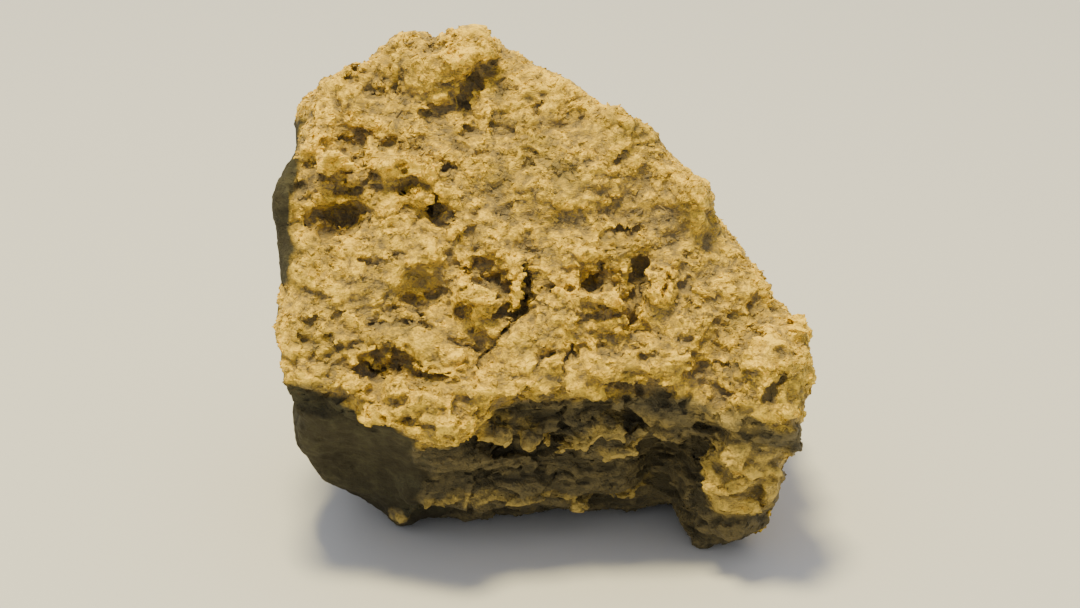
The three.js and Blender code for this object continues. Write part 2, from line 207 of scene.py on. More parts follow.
# Hollows: (across, up) or (across, up, out) to start from, (half length, half width, depth), turn.
# Only a share of the square root of the depth is cut, as PIT_DEPTH and LEDGE_DEPTH say.
HOLLOWS = by_face({"slope": [
    ((-12.9, 31.6), (0.8, 2.6, 9), -8),  # cleft below the summit boulder
    ((-9.9, 35.5), (1.8, 0.6, 1.8), 24),  # the boulder's overhang
    ((-16, 31.3), (1.4, 0.6, 1.4), 0), ((-32.2, 35.4), (2.3, 1.3, 2.6), 42),
    ((-27.5, 37.8), (1, 1.5, 1.2), 0), ((-19.4, 40.2), (0.7, 0.7, 1.4), 0),
    ((-42.2, 22.6), (0.5, 2.4, 2), -24),
    ((-43, 15.4), (2.2, 3.2, 1.8), 0),  # under the ledge at the left edge
    ((-34.9, 21.4), (2.8, 1.5, 3.2), 16),  # arched hollow above the curled bulge
    ((-31.9, 22.4), (1.9, 0.7, 2.4), -48),
    ((-33.6, 14.8), (1.9, 0.9, 3.4), -8),  # inside the curl
    ((-29.4, 16), (1.2, 0.7, 2), 15), ((-39.6, 9.6), (2.2, 0.8, 2.6), 12),
    ((-35.4, 8.6), (2.5, 1.3, 3.2), -12),
    ((-21.6, 12.3), (3.8, 0.6, 2), -6),  # shadow under the layered bulge
    ((-17.2, 14), (0.6, 0.9, 1.6), 0), ((-22.6, 20.4), (1.8, 0.6, 2), -5), ((-26.4, 21), (1, 0.5, 1.6), 0),
    ((-16.6, 17.4), (0.8, 0.7, 1.4), 0), ((-13.4, 20.6), (1.5, 0.7, 2.2), -28),
    ((-12.3, 23.7), (1, 0.6, 1.6), 32), ((-6.2, 26.7), (1, 0.8, 2.2), -10),
    ((-0.2, 27.8), (0.6, 1.6, 2), -10), ((-2.2, 18.2), (0.8, 1.2, 1.8), -20),
    ((-19.6, 27.4), (0.9, 0.4, 1.2), 35), ((-15.2, -0.2), (1.4, 0.6, 1.8), -36),
    ((-3.6, 3.2), (1.2, 0.6, 1.8), 28), ((-12.4, 4.8), (1.2, 0.4, 1.2), -8),
    ((18.4, 23.2), (0.6, 1.6, 2.2), -15), ((14.6, 18.4), (1.2, 1.1, 1.4), 0),
    ((25.4, 15.4), (1.4, 0.8, 1.6), -40), ((22, 12), (0.9, 0.7, 1.4), 0),
    ((13.8, 3.2), (3.4, 2.5, 1.3), 15),  # broad shallow hollow
    ((26, -1.5), (0.5, 1.6, 1.6), 0), ((25.2, -4.9), (1.4, 0.6, 1.6), 12), ((30.6, -6.6), (0.9, 1, 1.5), 0),
    ((33, -6.6), (1.1, 1, 1.9), 30), ((32.6, -9.3), (1.2, 0.4, 1.5), 8), ((37.6, -6.7), (1.1, 1.1, 2.2), 0),
    ((37.4, -12.8), (1.6, 0.5, 1.6), -20),
    ((41.8, -16.3), (1.25, 1.35, 4), -8),  # square pit by the shoulder
    ((28.2, -17.6), (1.5, 0.8, 2.4), -20),
    ((31, -20.6), (4.4, 3.2, 2), -12),  # rough dark hollow
    ((-38, 4.8), (3, 2.4, 0.8), -20),
    ((-10, -0.6), (2.4, 1.5, 3.4), 22),  # deep pocket in the middle
    ((-9.4, -3.2), (3.5, 0.9, 5), -4), ((-23, -6.2), (1.9, 0.55, 2.4), 6),
    ((-18.7, -5.5), (1.8, 1, 2.8), 32), ((-14, -8.6), (1.8, 0.8, 2.6), -10),
    ((-40, -11.7), (1.4, 0.7, 2), 0), ((-34.6, -12), (1.9, 1.8, 1.4), 0),
    ((-37.2, -15.2), (1.2, 0.8, 1.8), -20), ((-36.2, -18.2), (1.1, 0.9, 2), 30),
    ((-29.4, -16.6), (1.6, 0.45, 2.2), 6), ((-24.6, -17.2), (1.8, 0.9, 2.6), 24),
    ((-29.6, -20.2), (3.9, 1.3, 3.8), -8),
    ((-18.4, -21.5), (4.8, 1, 3.8), -3),  # shadow above the tongue
    ((-24.3, -26.1), (1.3, 0.4, 2), 4), ((-13.3, -25), (1, 0.8, 2.2), 20),
    ((-31.6, -24.6), (1.4, 0.4, 1.8), 0), ((10.2, -3.6), (3.1, 1.2, 6.5), 24),
    ((12.8, -2.8), (1.6, 1.4, 1.8), 0),
    ((17, -5.2), (1.3, 4.9, 26), -9),  # standing slot
    ((11.6, -9.6), (3, 0.8, 5), -14), ((-1.9, -9.7), (0.5, 0.5, 1.2), 0), ((6.4, -12.4), (1, 0.6, 1.4), 20),
    ((12.4, -13.8), (1.1, 0.7, 1.6), 0), ((15.6, -13.6), (1.1, 0.5, 1.6), 35),
    ((5.5, -15.2), (0.6, 0.9, 1.6), 20), ((17, -18), (1.8, 0.4, 1.8), -10), ((-3.6, -24), (1.8, 0.6, 2), 0),
], "lower front": [
    ((-10.8, -0.6, -3.6), (3.1, 1.9, 9), 0), ((-0.8, -5, -2.2), (4.6, 1.7, 9), -4),
    ((1.7, 0.7, -1.8), (1.2, 1.1, 7), 0), ((13.3, 2.6, -2.2), (2, 2.4, 9), 20),
    ((4.4, -7.4, 0), (2.2, 1.1, 4), 0), ((-12.2, -10.8, -0.4), (1.8, 1.2, 3), 0),
    ((17.3, -5.4, -1), (2.4, 1.4, 4), 10),
]})

# Clefts: width, depth, and the points that the cleft runs through.
CLEFTS = by_face({"slope": [
    (0.6, 3.2, [(-2.3, -6), (-4.3, -9.4), (-6.7, -12.3)]),
    (0.5, 2.6, [(-6.7, -12.3), (-7.8, -14.5), (-9.9, -16.3), (-11, -18.2), (-11.6, -21)]),
    (0.5, 2.4, [(-3.4, 1.2), (-2.6, -1.7), (-2, -3.8), (-2.2, -6)]),
    (0.5, 2.4, [(-2, -4), (0.5, -3.9), (3, -4.2), (5.3, -5.2), (7.4, -5), (8.6, -4.2)]),
    (0.7, 2.2, [(-1.8, -5.9), (0.2, -6.2), (2, -5.8)]),
    (0.8, 2.4, [(-27.2, 2.3), (-24.2, 0.9), (-19.4, 2.3)]),
    (0.7, 1.8, [(-32, 0.6), (-29, 0)]),
    (0.7, 2.2, [(-29.6, -10.7), (-28, -11.4), (-25.3, -10.7), (-22.4, -10.4)]),
    (0.7, 2.2, [(-21.5, -9), (-19.5, -11.5), (-16, -13.1), (-12.8, -14.4), (-10.4, -15.3)]),
    (0.7, 2, [(-24.5, 36.2), (-25, 33.4), (-26.2, 31.8)]),
    (0.7, 2.4, [(-0.5, -19.4), (0.3, -17.2), (2.4, -16.2)]),
    (0.8, 2.4, [(4.4, -16.7), (4.3, -20.6)]),
    (0.6, 1.6, [(-41.5, -5), (-38.2, -6.6)]),
    (0.5, 0.8, [(0, 29.5), (0.6, 25.8), (3, 22.6), (6.5, 20.4), (8, 17.5)]),
    (0.6, 1.4, [(-14.8, 8.4), (-17.8, 7.2), (-12.4, 7), (-10.6, 9.6)]),
    (0.6, 1.4, [(19.8, -0.4), (21.7, -1.4), (22.4, -3.6), (22.2, -7.4)]),
    (1.2, 3, [(42.2, -20.4), (41.4, -22.6), (40.2, -24.8)]),
    (0.6, 1.6, [(21, -12.5), (24, -13.6), (27.5, -13)]),
], "lower left": [
    (0.9, 1.6, [(-29, 16), (-25, 13), (-20, 10)]),
], "lower front": [
    (0.7, 1.4, [(-20, -7), (-14, -8.4), (-6, -7)]),
    (0.7, 1.4, [(-18, -12.6), (-9, -14.2), (2, -14)]),
]})

# Spots: face, (across, up), out, (half length, half width, half thickness), turn, and in the lists a share.
TONGUE = ("slope", (-20, -25), -2.5, (15, 9.5, 9), -28)
LOWER_RIGHT_LUMP = ("lower front", (33, -0.5), 8, (10, 9.5, 7), 0)
FOOT_TIP = ("lower front", (-28.3, -24), 0.6, (2, 2.4, 2.5), 0)
# Spots where the lower front's painted shade gives way to the golden rock: the tongue, and some of the lower
# right lump.
UNSHADED_SPOTS = [(*TONGUE, 1.0), (*LOWER_RIGHT_LUMP, 0.25)]
# A paler tone with painted light: on the foot's tip and the lower right lump where they catch the lamp, and
# along the ribs; paler rock on the haunch above the lump and on the lower front.
PALE_AND_LIT_SPOTS = [
    (*FOOT_TIP, 0.8),
    (*LOWER_RIGHT_LUMP, 1.0),
    ("lower edge", (34, -9), 0, (9, 5.5, 6), 0, 0.5),  # the haunch above it
    ("lower front", (14, 5), 2, (8, 3, 5), 0, 0.3),
]
UNSHADED_LOWEST = 11.5  # below this height everything on the lower front is painted in shade
LEFT_EDGE = 44.0  # where the crust laps round the left edge, from the middle
LAP_HEIGHTS = (51.0, 71.0)

# ---- The grid ----

GRID = 0.38  # spacing of the grid
GRID_REACH = 5.0  # how far from the surface the signed distance is kept
RELIEF_REACH = 2.4  # how far from the surface the relief is worked out
FACET_BLUR = 1.0  # rounds off the solid's facets
THREADS = 4


def piece_points(piece):
    points = np.empty(len(piece.data.vertices) * 3, np.float32)
    piece.data.vertices.foreach_get("co", points)
    return points.reshape(-1, 3) / MM


def piece_triangles(piece):
    piece.data.calc_loop_triangles()
    triangles = np.empty(len(piece.data.loop_triangles) * 3, np.int32)
    piece.data.loop_triangles.foreach_get("vertices", triangles)
    return triangles.reshape(-1, 3)


def blur(field, size):
    """A field blurred over about size, in millimetres, by three box blurs along each axis."""
    radius = max(1, round(size / GRID))
    box = 2 * radius + 1
    for axis in range(3):
        for _ in range(3):
            edges = [(radius + 1, radius) if a == axis else (0, 0) for a in range(3)]
            total = np.cumsum(np.pad(field, edges, mode="edge"), axis=axis, dtype=np.float64)
            ends = np.take(total, range(box, total.shape[axis]), axis=axis)
            starts = np.take(total, range(0, total.shape[axis] - box), axis=axis)
            field = ((ends - starts) / box).astype(np.float32)
    return field


def sample(field, low, points):
    """A field's value at each point, by trilinear interpolation."""
    place = np.clip(points / GRID - low, 0, np.array(field.shape) - 1.01)
    base = np.floor(place).astype(int)
    share = (place - base).astype(np.float32)
    total = np.zeros(len(points), np.float32)
    for corner in itertools.product((0, 1), repeat=3):
        weight = np.prod([share[:, a] if c else 1 - share[:, a] for a, c in enumerate(corner)], axis=0)
        total += weight * field[tuple((base + corner).T)]
    return total


# ---- Noise on a table of random numbers ----

TABLE_SIZE = 64
TABLE = np.random.default_rng(11).random((TABLE_SIZE**3, 4), dtype=np.float32)
SEED_SHIFT = 7.31  # how far one seed's pattern is moved from the next, in cells


def table_rows(i, j, k):
    """The table's rows for lattice cells."""
    wrap = TABLE_SIZE - 1
    return TABLE[((i & wrap) * TABLE_SIZE + (j & wrap)) * TABLE_SIZE + (k & wrap)]


def lattice(points, spacing, seed):
    """The lattice cell of each point and its place in the cell."""
    scaled = points / np.asarray(spacing, np.float32) + np.float32(seed * SEED_SHIFT)
    base = np.floor(scaled)
    return base.astype(np.int32).T, (scaled - base).astype(np.float32).T


def gradient_noise(points, spacing, seed):
    """Smooth noise from about -1 to 1."""
    (i, j, k), (x, y, z) = lattice(points, spacing, seed)
    fade = [f * f * f * (f * (f * 6 - 15) + 10) for f in (x, y, z)]
    total = np.zeros(len(points), np.float32)
    for a, b, c in itertools.product((0, 1), repeat=3):
        slopes = table_rows(i + a, j + b, k + c) * 2 - 1
        value = slopes[:, 0] * (x - a) + slopes[:, 1] * (y - b) + slopes[:, 2] * (z - c)
        for corner, share in zip((a, b, c), fade):
            value *= share if corner else 1 - share
        total += value
    return total * 1.6


def bent(points, size, spacing, seed):
    """The points, each moved by smooth noise."""
    return points + size * np.stack([gradient_noise(points, spacing, seed + axis) for axis in range(3)], -1)


def near_seeds(points, spacing, seed):
    """The seeds scattered round each point: their random numbers, and the point's offset from them."""
    (i, j, k), (x, y, z) = lattice(points, spacing, seed)
    for a, b, c in itertools.product((-1, 0, 1), repeat=3):
        row = table_rows(i + a, j + b, k + c)
        yield row, np.stack([x - a - row[:, 0], y - b - row[:, 1], z - c - row[:, 2]])


def blocks(points, spacing, seed):
    """How far, in cells, each point's nearest two seeds are, the offset from the nearest, and its numbers."""
    first = np.full(len(points), 9, np.float32)
    second = first.copy()
    offset = np.zeros((3, len(points)), np.float32)
    chance = np.zeros((len(points), 4), np.float32)
    for row, away in near_seeds(points, spacing, seed):
        square = (away * away).sum(0)
        nearer = square < first
        second = np.where(nearer, first, np.minimum(second, square))
        first = np.where(nearer, square, first)
        offset[:, nearer] = away[:, nearer]
        chance[nearer] = row[nearer][:, [3, 0, 1, 2]]
    return np.sqrt(first), np.sqrt(second), offset, chance


def ragged(points):
    """The points, each moved a little, so that what is worked out from them comes out ragged."""
    flat = bent(points.reshape(-1, 3).astype(np.float32), 0.6, 3.6, 50)
    for spacing, size, seed in (((2.4, 2.4, 1.7), 1.0, 53), ((1.2, 1.2, 0.9), 0.5, 54)):
        flat = flat + size * (blocks(flat, spacing, seed)[3][:, 1:] - 0.5)
    return flat.reshape(points.shape)


def ease(value, low, high):
    """0 below low, 1 above high, and smooth between."""
    share = np.clip((value - low) / (high - low), 0, 1)
    return share * share * (3 - 2 * share)


# ---- The signed distance: the solid, smoothed, with the named features ----

MARGIN = 2.0  # how far round a feature the grid is changed
LUMP_SHARPNESS = 3.5  # 2 makes an ellipsoid, more makes a block with rounded edges
CAVE_SHARPNESS = 2.6
PIT_DEPTH = 0.6  # of the square root of a hollow's depth
LEDGE_DEPTH = 0.4  # the same, for a hollow under a ledge
UNDERCUT_FOOT = 2.2  # how far below its middle an undercut's floor ends, in half widths
ROOF_LEAN = 0.45  # how far an undercut's roof climbs for each millimetre of depth
CLEFT_DEPTH = 0.32  # of a cleft's depth in the table
SEATS = {}  # where each lump and hollow sits on the solid's own surface, once that is known


def solid_field():
    """The CAD solid's signed distance on the grid, its lowest grid index, and the grid's transform."""
    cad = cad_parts["meteorite"]
    triangles = piece_triangles(cad).astype(np.uint32)
    transform = openvdb.createLinearTransform(voxelSize=GRID)
    grid = openvdb.FloatGrid.createLevelSetFromPolygons(
        piece_points(cad), triangles=triangles, transform=transform, halfWidth=round(GRID_REACH / GRID)
    )
    low, high = grid.evalActiveVoxelBoundingBox()
    field = np.empty(np.subtract(high, low) + 1, np.float32)
    grid.copyToArray(field, ijk=low)
    return field, np.array(low), transform


def find_seats(field, low):
    """Finds each lump's and hollow's middle, by going from its face's plane to the surface."""
    starts = [(face, at, 0) for face, at, *_ in HOLLOWS] + [(face, at, rise) for face, at, rise, *_ in LUMPS]
    for face, at, rise in starts:
        centre, out = on_face(face, *at), face_axes(face)[2]
        for _ in range(8):
            centre = centre - 0.9 * sample(field, low, centre[None])[0] * out
        SEATS[face, at] = centre + rise * out


def window(field, low, centre, reach):
    """The part of the grid within reach of a point: its slices, and its points, made ragged."""
    start = np.maximum(np.floor((centre - reach) / GRID).astype(int) - low, 0)
    stop = np.minimum(np.ceil((centre + reach) / GRID).astype(int) - low + 1, field.shape)
    axes = [(np.arange(a, b) + l) * GRID for a, b, l in zip(start, stop, low)]
    points = np.stack(np.meshgrid(*axes, indexing="ij"), -1)
    return tuple(slice(a, b) for a, b in zip(start, stop)), ragged(points)


def soft_max(a, b, softness):
    """The larger value, with the edge where the two meet rounded off."""
    near = np.maximum(softness - np.abs(a - b), 0) / softness
    return np.maximum(a, b) + near * near * softness / 4


def offsets(points, centre, face, turn):
    """How far each point is from a feature's middle along its length, along its width and out of the face."""
    across, up, out = face_axes(face)
    angle = math.radians(turn)
    length = math.cos(angle) * across + math.sin(angle) * up
    offset = points - centre
    return [offset @ axis for axis in (length, np.cross(out, length), out)]


def on_plane(face, points):
    """Each point's place across and up a face, and how far out of the face's plane it is."""
    along, rise, out = offsets(points, on_face(face, 0, 0), face, 0)
    return np.stack([along, rise], -1), out


def along_route(field, low, face, route, margin):
    """The part of the grid around a route on a face, and the places of its points on the face."""
    ends = np.array([on_face(face, *at) for at in route])
    reach = (ends.max(0) - ends.min(0)) / 2
    place, points = window(field, low, ends.min(0) + reach, reach + margin)
    return place, on_plane(face, points)[0]


def ellipsoid(points, centre, face, size, turn, sharpness=2):
    """Near enough a signed distance to an ellipsoid that lies on a face, or to a block with rounded edges."""
    scaled = np.stack([offset / half for offset, half in zip(offsets(points, centre, face, turn), size)])
    return ((np.abs(scaled) ** sharpness).sum(0) ** (1 / sharpness) - 1) * min(size)


def undercut(points, below, centre, face, size, turn):
    """Near enough a signed distance to a hollow under a ledge, deep at its upper edge and shallow below."""
    along, rise, _ = offsets(points, centre, face, turn)
    length, width, deep = size
    foot = UNDERCUT_FOOT * width
    arch = 1 - np.minimum((along / length) ** 2, 1)
    floor = deep * np.clip((rise + foot) / (foot + width), 0, 1) * np.sqrt(arch)
    roof = rise - width * (0.3 + 0.7 * arch) - ROOF_LEAN * below
    return np.maximum(np.maximum(0.6 * (below - floor), roof), np.abs(along) - length)


def path_distance(places, route):
    """How far each place on a face is from a route of straight lines."""
    nearest = np.full(places.shape[:-1], np.inf)
    for start, end in zip(route, route[1:]):
        start, run = np.array(start), np.array(end) - start
        share = np.clip((places - start) @ run / (run @ run), 0, 1)
        nearest = np.minimum(nearest, np.linalg.norm(places - start - share[..., None] * run, axis=-1))
    return nearest


def add_lumps(field, low):
    for face, at, _, size, turn in LUMPS:
        centre = SEATS[face, at]
        place, points = window(field, low, centre, max(size) + MARGIN)
        lump = ellipsoid(points, centre, face, size, turn, LUMP_SHARPNESS)
        field[place] = -soft_max(-field[place], -lump, 0.8)


def add_ribs(field, depth, low):
    for face, thickness, height, route in RIBS:
        place, flat = along_route(field, low, face, route, 6)
        above = np.maximum(np.abs(depth[place]) - 0.6 * height, 0)
        rib = np.hypot(path_distance(flat, route), above) - thickness / 2
        field[place] = -soft_max(-field[place], -rib, 0.9)


def cut_caves(field, low):
    for face, at, out, size, turn in CAVES:
        centre = on_face(face, *at, out)
        place, points = window(field, low, centre, max(size) + MARGIN)
        cave = ellipsoid(points, centre, face, size, turn, CAVE_SHARPNESS)
        field[place] = soft_max(field[place], -cave, 0.6)


def cut_hollows(field, depth, low):
    for face, at, (length, width, deep), turn in HOLLOWS:
        centre = SEATS[face, at]
        under_a_ledge = length > width
        size = (length, width, (LEDGE_DEPTH if under_a_ledge else PIT_DEPTH) * deep**0.5)
        place, points = window(field, low, centre, max(size) + MARGIN)
        if under_a_ledge:
            hollow = undercut(points, -depth[place], centre, face, size, turn)
        else:
            hollow = ellipsoid(points, centre, face, size, turn)
        field[place] = soft_max(field[place], -hollow, 0.8)


def cut_clefts(field, depth, low):
    for face, width, deep, route in CLEFTS:
        deep *= CLEFT_DEPTH
        place, flat = along_route(field, low, face, route, deep + 3)
        cleft = path_distance(flat, route) / (0.75 * width) - depth[place] / deep - 1
        field[place] = soft_max(field[place], -cleft * 0.6 * width, 0.4)


def with_features(field, low):
    """The field with the named lumps, ribs, caves, hollows and clefts."""
    field = field.copy()
    add_lumps(field, low)
    depth = field.copy()  # the distance to the surface before ribs stand on it and anything is cut into it
    add_ribs(field, depth, low)
    cut_caves(field, low)
    cut_hollows(field, depth, low)
    cut_clefts(field, depth, low)
    return field


# ---- Where the crust is, and where shade and light are painted ----


def face_distance(points, faces):
    """How far each point is outside the stone that some faces bound, or less than 0 inside it."""
    offset = points - HEART
    return np.max([offset @ looking(b, t) - reach for b, t, reach in faces.values()], axis=0)


def near_spot(points, spots):
    """1 well inside any of some ellipsoids on the faces, 0 outside."""
    share = np.zeros(len(points), np.float32)
    for face, at, out, size, turn in spots:
        centre = SEATS[face, at] if (face, at) in SEATS else on_face(face, *at, out)
        away = ellipsoid(points, centre, face, size, turn)
        share = np.maximum(share, ease(-away, -1.2, 1.2))
    return share


def crust_share(points):
    """1 on the outside of the original stone, 0 on the broken faces, with a ragged border."""
    border = face_distance(points, CRUST_FACES) - face_distance(points, BROKEN_FACES)
    x, z = points[:, 0], points[:, 2]
    lap = -x - LEFT_EDGE + 3.5 * ease(z, 61, LAP_HEIGHTS[1])
    border = np.where((z > LAP_HEIGHTS[0]) & (z < LAP_HEIGHTS[1]), np.maximum(border, lap), border)
    border += 2.3 * ease(-x, 29, 35) * (1 - ease(z, 38, 44))  # it climbs a little at the lower left,
    border -= 2.6 * ease(z, 30, 34) * (1 - ease(z, 50, 53)) * (x < -30)  # is held back above that,
    border -= 3.0 * ease(z, 65, 69) * (x < -30)  # and again towards the summit
    border -= 8.0 * near_spot(points, [FOOT_TIP])
    wander = 1.5 * gradient_noise(points, 7.0, 1) + 0.9 * gradient_noise(points, 2.4, 2)
    return ease(border + wander, -0.4, 0.6)


def shaded_front_share(points):
    """1 on the lower front under the slope's lip and in its caves, where the colour is painted shade, 0
    elsewhere, with a ragged border.
    """
    border = face_distance(points, DOWNWARD_FACES) - face_distance(points, UNSHADED_FACES)
    border += 1.6 * gradient_noise(points, 5.0, 14)
    shaded = np.maximum(ease(border, 0.5, 2.5), near_spot(points, CAVES))
    high = ease(points[:, 2], UNSHADED_LOWEST - 1.5, UNSHADED_LOWEST + 1.5)
    moved = ragged(points)
    for *spot, share in UNSHADED_SPOTS:
        shaded *= 1 - share * near_spot(moved, [spot]) * high
    return shaded


def near_route(places, route, margin):
    """Whether each place on a face is in the box round a route."""
    return ((places > np.min(route, 0) - margin) & (places < np.max(route, 0) + margin)).all(1)


def pale_and_lit_share(points):
    """Where a paler tone with painted light goes: 1 in the spots, and less along the ribs of the lower front,
    whose edges catch the lamp; 0 elsewhere.
    """
    share = np.zeros(len(points), np.float32)
    flat, out = on_plane("lower front", ragged(points))
    for face, thickness, _, route in RIBS:
        if face == "lower front":
            near = np.flatnonzero(near_route(flat, route, 3))
            rib = 1 - ease(path_distance(flat[near], route), 0.4, 1.3 * thickness)
            share[near] = np.maximum(share[near], rib)
    share *= 0.6 * (np.abs(out) < 7)
    patchy = ease(gradient_noise(points, 2.6, 33) + 0.5 * gradient_noise(points, 1.1, 34), -0.7, 0.2)
    for *spot, most in PALE_AND_LIT_SPOTS:
        share = np.maximum(share, most * patchy * near_spot(points, [spot]))
    return share


def recess_share(points):
    """Where shade is painted into the named hollows and clefts: 1 in the deepest, less in shallow ones, 0
    elsewhere, with a ragged border.
    """
    share = np.zeros(len(points), np.float32)
    moved = ragged(points)
    for face, at, (length, width, deep), turn in HOLLOWS:
        centre = SEATS[face, at]
        near = np.flatnonzero(np.abs(moved - centre).max(1) < max(length, width) + 1.5)
        away = ellipsoid(moved[near], centre, face, (length, width, 4), turn)
        share[near] = np.maximum(share[near], (1 - ease(away, -0.5, 0.5)) * min(1, 0.35 + 0.16 * deep))
    for face, width, deep, route in CLEFTS:
        flat, out = on_plane(face, moved)
        near = np.flatnonzero(near_route(flat, route, 2) & (np.abs(out) < 5))
        away = path_distance(flat[near], route) - width / 2
        share[near] = np.maximum(share[near], (1 - ease(away, -0.2, 0.4)) * min(1, 0.1 + 0.35 * deep))
    return share


# ---- Relief ----

RUBBLE = [  # cell sizes, lift, tilt, steepness of the fragments' sides
    ((6.0, 6.0, 4.2), 0.05, 0.14, 0.35),
    ((3.0, 3.0, 1.9), 0.09, 0.26, 0.5),
    ((1.5, 1.5, 1.0), 0.12, 0.4, 0.8),
]
LAYERS = [  # cell sizes, height, tilt, crease between two blocks
    ((9.0, 9.0, 4.0), 0.35, 0.1, 0.3),
    ((4.0, 4.0, 1.8), 0.16, 0.12, 0.1),
]
RELIEF = 0.8  # how much of the broken rock's relief is used
CALM = 0.3  # how much less broken the named lumps are
DROOP = 0.2  # how far what stands out hangs over what lies below it
PINHOLE_SPACING = 4.0
PINHOLE_CHANCE = 0.28


def stepped(points, spacing, height, tilt, crease, seed):
    """Blocks that stand out or in, each tilted its own way, with creases along some of their joints."""
    first, second, offset, chance = blocks(points, spacing, seed)
    slopes = (chance[:, 1:].T - 0.5) * 2 * tilt
    joint = ease(first - second, -0.2, 0) * (chance[:, 2] > 0.4)
    return height * (chance[:, 0] * 2 - 1) + (slopes * offset).sum(0) * spacing[0] - crease * joint


def turned_boxes(count, seed):
    """Random turns, each with its own stretch, that make a fragment's sides from its directions."""
    chance = np.random.default_rng(seed)
    turns, _ = np.linalg.qr(chance.normal(size=(count, 3, 3)))
    return (turns * np.exp(0.3 * chance.normal(size=(count, 3, 1)))).astype(np.float32)


FRAGMENTS = turned_boxes(64, 3)


def rubble(points, spacing, lift, tilt, steep, seed):
    """Angular fragments packed together, each with a flat tilted top and flat sloping sides."""
    best = np.full(len(points), -9, np.float32)
    for row, away in near_seeds(points, spacing, seed):
        away = np.ascontiguousarray(away.T)
        turn = FRAGMENTS[(row[:, 3] * len(FRAGMENTS)).astype(np.int32)]
        side = np.abs(np.einsum("nij,nj->ni", turn, away)).max(1)
        peak = lift * (2 * row[:, 0] - 1)
        top = peak + tilt * (turn[:, 0] * away).sum(1)
        best = np.maximum(best, np.minimum(top, peak + steep * (0.3 - side)))
    return best * spacing[0]


def jagged_edge(points, coarse, fine):
    """Bites and teeth along the lower edge of the slope, where the broken rock is most jagged."""
    border = face_distance(points, DOWNWARD_FACES) - face_distance(points, {"slope": BROKEN_FACES["slope"]})
    height = coarse * gradient_noise(points, 4.5, 17) + fine * gradient_noise(points, 2.0, 18)
    return (1 - ease(np.abs(border), 0.5, 4.5)) * height


def broken_height(points):
    """How far the broken rock stands out from the smooth surface."""
    moved = bent(points, 0.8, 6.0, 3)
    height = 0.6 * gradient_noise(points, 11.0, 16)
    for seed, layer in enumerate(RUBBLE, 1):
        height += rubble(moved, *layer, seed)
    height += jagged_edge(points, 1.2, 0.7)
    lumps = [(face, at, rise, np.array(size) + 0.6, turn) for face, at, rise, size, turn in LUMPS]
    return RELIEF * height * (1 - CALM * near_spot(points, lumps))


def shaded_front_height(points):
    """The lower front under the slope's lip: softer blocks, drawn out along the stone in thin layers."""
    moved = bent(points, 1.4, 6.0, 3)
    height = 0.3 * gradient_noise(moved / (3.0, 3.0, 1.0), 1.3, 15)
    for seed, layer in enumerate(LAYERS, 1):
        height += stepped(moved, *layer, seed)
    height += jagged_edge(points, 0.9, 0.4)
    return height + 0.3 * (0.25 - np.abs(gradient_noise(moved, 1.4, 10)))


def crust_height(points):
    """The fused outside: low wrinkles and a few pinholes."""
    height = 0.32 * gradient_noise(points, 3.4, 20) + 0.25 * gradient_noise(points, 1.5, 21)
    height += 0.2 * gradient_noise(points, 0.9, 22)
    first, _, _, chance = blocks(points, PINHOLE_SPACING, 4)
    return height - 0.7 * ease(-first, -0.24, -0.08) * (chance[:, 0] > 1 - PINHOLE_CHANCE)


def relief_height(points):
    """How far the stone stands out from the smooth surface at some points of it."""
    crust, shaded = crust_share(points), shaded_front_share(points)
    height = np.zeros(len(points), np.float32)
    for work, share in (
        (broken_height, (1 - crust) * (1 - shaded)),
        (shaded_front_height, (1 - crust) * shaded),
        (crust_height, crust),
    ):
        some = share > 0.01
        height[some] += work(points[some]) * share[some]
    return height


def outward(field, place):
    """The direction away from the stone at some places of the grid."""
    slopes = []
    for axis in range(3):
        ahead, behind = list(place), list(place)
        ahead[axis] = np.minimum(place[axis] + 1, field.shape[axis] - 1)
        behind[axis] = np.maximum(place[axis] - 1, 0)
        slopes.append(field[tuple(ahead)] - field[tuple(behind)])
    return unit(np.stack(slopes, -1))


def stone_field():
    """The finished field, and the smooth one that depths are measured from."""
    solid, low, transform = solid_field()
    smooth = blur(solid, FACET_BLUR)
    find_seats(smooth, low)
    field = with_features(smooth, low)
    place = np.argwhere(np.abs(field) < RELIEF_REACH)
    place = tuple(place[(place[:, 2] + low[2]) * GRID > -2 * GRID].T)
    points = ((np.stack(place, -1) + low) * GRID).astype(np.float32)
    distance = field[place]
    foot = points - distance[:, None] * outward(field, place)
    foot[:, 2] += DROOP * distance
    with ThreadPoolExecutor(THREADS) as pool:
        slices = np.array_split(foot.astype(np.float32), 4 * THREADS)
        relief = np.concatenate(list(pool.map(relief_height, slices)))
    fade = 1 - ease(np.abs(distance), RELIEF_REACH - 0.8, RELIEF_REACH)
    field[place] = distance - relief * fade
    heights = (np.arange(field.shape[2]) + low[2]) * GRID
    field = np.maximum(field, -heights[None, None, :]).astype(np.float32)  # flat below
    return field, smooth, low, transform


# ---- The stone's mesh ----

TRIANGLE_BUDGET = 196000
SHARP_EDGE = math.radians(27)
BASE_SNAP = 0.35 * GRID  # what is lower than this lies on the base
# Blurs of the finished field that the material reads, to paint shade into hollows and light onto ridges
HOLLOW_BLURS = {"fine_hollow": 0.55, "hollow": 1.2, "wide_hollow": 2.6}


def largest_shell(points, quads):
    """Keeps the points and quads of the largest connected shell."""
    label = np.arange(len(points))
    while True:
        lowest = label[quads].min(1)
        new = label.copy()
        np.minimum.at(new, quads.ravel(), np.repeat(lowest, 4))
        new = new[new]
        if (new == label).all():
            break
        label = new
    keep = label == np.bincount(label).argmax()
    number = np.cumsum(keep) - 1
    return points[keep], number[quads[keep[quads[:, 0]]]]


